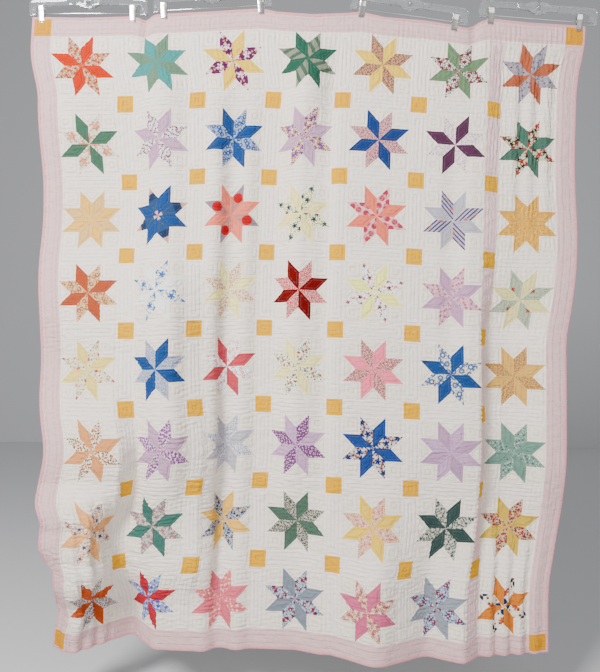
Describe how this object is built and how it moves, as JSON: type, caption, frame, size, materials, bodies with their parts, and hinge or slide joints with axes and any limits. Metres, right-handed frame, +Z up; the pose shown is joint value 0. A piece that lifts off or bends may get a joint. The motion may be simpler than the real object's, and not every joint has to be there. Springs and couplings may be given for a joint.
{
  "type": "star quilt blanket on clear clip hangers",
  "caption": "Patchwork quilt of eight-pointed star blocks with a pink border and binding, hanging by its top edge from clear plastic clip hangers.",
  "frame": {"origin": "seat of the second hanger's hook, on the line of the rail that all the hooks hang on", "axes": "+Z up, +X along the rail to the viewer's right, +Y away from the viewer, so the pieced face looks towards -Y"},
  "size_m": [1.7091, 0.209, 2.0318],
  "materials": {
    "quilt_cotton": "washed printed and plain cotton patchwork, hand quilted",
    "binding_cotton": "plain woven cotton",
    "clear_plastic": "clear moulded, glossy",
    "steel_wire": "bright drawn wire",
    "steel_hook": "bright nickel plate",
    "clip_metal": "nickel plated spring steel"
  },
  "bodies": {
    "root": {"quilt": "quilt_cotton", "binding": "binding_cotton", "hanger_1_body": "clear_plastic", "hanger_1_wire": "steel_wire", "hanger_1_hook": "steel_hook", "hanger_1_left_front_jaw": "clip_metal", "hanger_1_left_back_jaw": "clip_metal", "hanger_1_left_spring": "clip_metal", "hanger_1_right_front_jaw": "clip_metal", "hanger_1_right_back_jaw": "clip_metal", "hanger_1_right_spring": "clip_metal", "hanger_2_body": "clear_plastic", "hanger_2_wire": "steel_wire", "hanger_2_hook": "steel_hook", "hanger_2_left_front_jaw": "clip_metal", "hanger_2_left_back_jaw": "clip_metal", "hanger_2_left_spring": "clip_metal", "hanger_2_right_front_jaw": "clip_metal", "hanger_2_right_back_jaw": "clip_metal", "hanger_2_right_spring": "clip_metal", "hanger_3_body": "clear_plastic", "hanger_3_wire": "steel_wire", "hanger_3_hook": "steel_hook", "hanger_3_left_front_jaw": "clip_metal", "hanger_3_left_back_jaw": "clip_metal", "hanger_3_left_spring": "clip_metal", "hanger_3_right_front_jaw": "clip_metal", "hanger_3_right_back_jaw": "clip_metal", "hanger_3_right_spring": "clip_metal", "hanger_4_body": "clear_plastic", "hanger_4_wire": "steel_wire", "hanger_4_hook": "steel_hook", "hanger_4_left_front_jaw": "clip_metal", "hanger_4_left_back_jaw": "clip_metal", "hanger_4_left_spring": "clip_metal", "hanger_4_right_front_jaw": "clip_metal", "hanger_4_right_back_jaw": "clip_metal", "hanger_4_right_spring": "clip_metal"}
  },
  "joints": []
}
